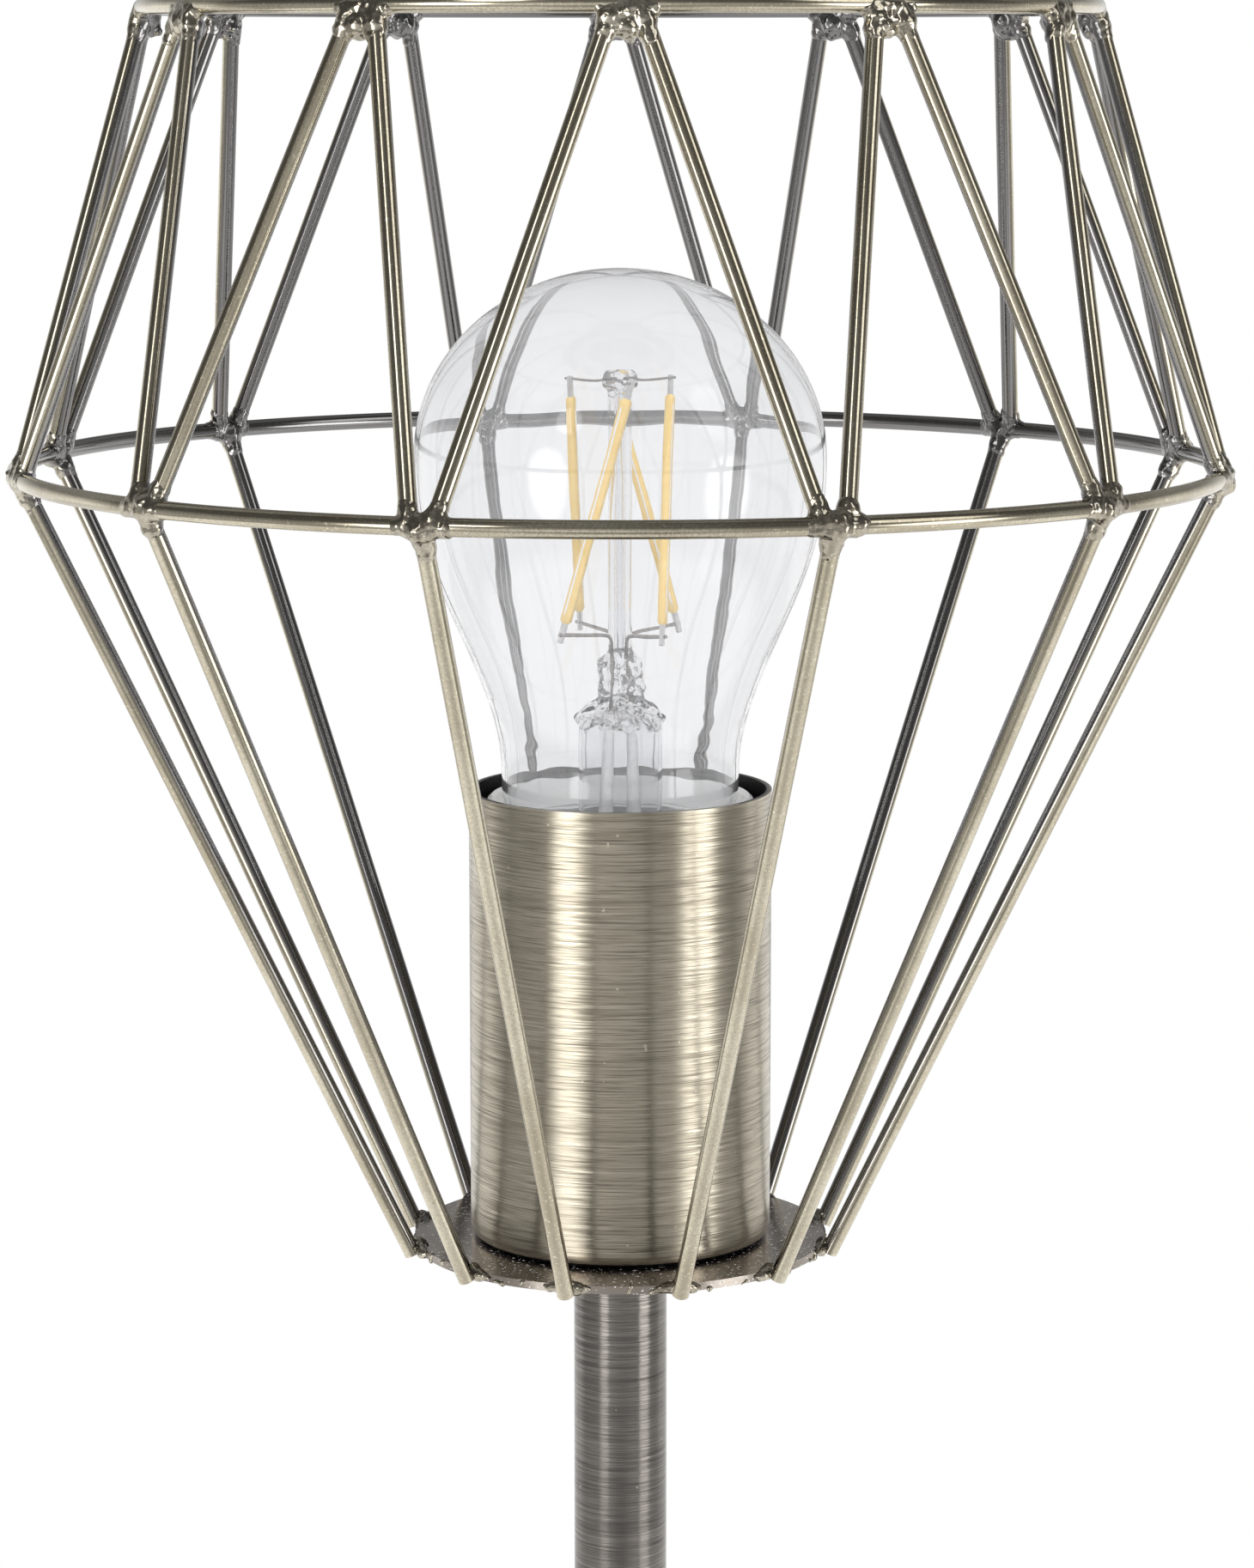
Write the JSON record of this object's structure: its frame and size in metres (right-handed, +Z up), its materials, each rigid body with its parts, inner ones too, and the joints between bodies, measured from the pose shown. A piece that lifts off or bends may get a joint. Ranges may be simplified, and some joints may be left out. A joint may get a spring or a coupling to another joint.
{
  "type": "table lamp",
  "caption": "Table lamp with a round weighted base, slim stem, open faceted wire cage and a clear screw-in filament bulb standing in a brushed metal cup.",
  "frame": {"origin": "centre of the felt pad's underside, on the lamp's axis", "axes": "+Z up along the stem, the cord inlet towards +Y, the front towards -Y"},
  "size_m": [0.1784, 0.1784, 0.4444],
  "materials": {
    "felt": "felted",
    "base_bronze": "brushed antique",
    "cast_weight": "raw casting",
    "black_plastic": "moulded",
    "stem_bronze": "brushed antique, dark",
    "zinc_steel": "zinc plated",
    "cage_brass": "satin antique",
    "plate_bronze": "dark antique",
    "weld_brass": "rough, plated",
    "cover_brass": "brushed antique",
    "holder_white": "moulded",
    "block_ceramic": "unglazed",
    "contact_brass": "stamped",
    "cap_nickel": "nickel plated",
    "black_glass": "fused",
    "board_green": "laminate",
    "clear_glass": "clear",
    "filament_amber": "phosphor coated",
    "lead_steel": "drawn wire",
    "sleeve_white": "frosted tube"
  },
  "bodies": {
    "lamp": {"felt_pad": "felt", "base_shell": "base_bronze", "base_weight": "cast_weight", "cord_bush": "black_plastic", "stem_tube": "stem_bronze", "stem_bushes": "zinc_steel", "lower_nipple": "zinc_steel", "upper_nipple": "zinc_steel", "lock_washers": "zinc_steel", "lock_nuts": "zinc_steel", "top_ring": "cage_brass", "mid_ring": "cage_brass", "cage_plate": "plate_bronze", "top_welds": "weld_brass", "mid_welds": "weld_brass", "plate_welds": "weld_brass", "socket_cover": "cover_brass", "holder_dome": "holder_white", "terminal_block": "block_ceramic", "terminal_screws": "zinc_steel", "shell_terminal": "contact_brass", "centre_terminal": "contact_brass", "screw_shell": "cap_nickel", "holder_skirt": "holder_white", "spoke_01": "cage_brass", "brace_pair_01": "cage_brass", "spoke_02": "cage_brass", "brace_pair_02": "cage_brass", "spoke_03": "cage_brass", "brace_pair_03": "cage_brass", "spoke_04": "cage_brass", "brace_pair_04": "cage_brass", "spoke_05": "cage_brass", "brace_pair_05": "cage_brass", "spoke_06": "cage_brass", "brace_pair_06": "cage_brass", "spoke_07": "cage_brass", "brace_pair_07": "cage_brass", "spoke_08": "cage_brass", "brace_pair_08": "cage_brass", "spoke_09": "cage_brass", "brace_pair_09": "cage_brass", "spoke_10": "cage_brass", "brace_pair_10": "cage_brass", "spoke_11": "cage_brass", "brace_pair_11": "cage_brass", "spoke_12": "cage_brass", "brace_pair_12": "cage_brass"},
    "bulb_contact": {"contact_button": "cap_nickel"},
    "bulb": {"bulb_cap": "cap_nickel", "cap_insulator": "black_glass", "driver_board": "board_green", "bulb_glass": "clear_glass", "glass_mount": "clear_glass", "filaments": "filament_amber", "filament_hooks": "lead_steel", "lead_wires": "lead_steel", "lead_sleeves": "sleeve_white"},
    "tongue": {"contact_tongue": "contact_brass"}
  },
  "joints": [
    {"name": "bulb_lift", "type": "slide", "parent": "lamp", "child": "bulb_contact", "axis": [0, 0, 1], "range_m": [0, 0.01543]},
    {"name": "bulb_turn", "type": "hinge", "parent": "bulb_contact", "child": "bulb", "pos_m": [0, 0, 0.2986], "axis": [0, 0, 1], "range_deg": [0, 1530]},
    {"name": "tongue_press", "type": "hinge", "parent": "lamp", "child": "tongue", "pos_m": [-0.0076, 0, 0.2922], "axis": [0, 1, 0], "range_deg": [0, 7], "stiffness_Nm_per_rad": 0.1}
  ],
  "couplings": [
    {"joint": "bulb_lift", "follows": "bulb_turn", "m_per_rad": 0.00057757}
  ]
}
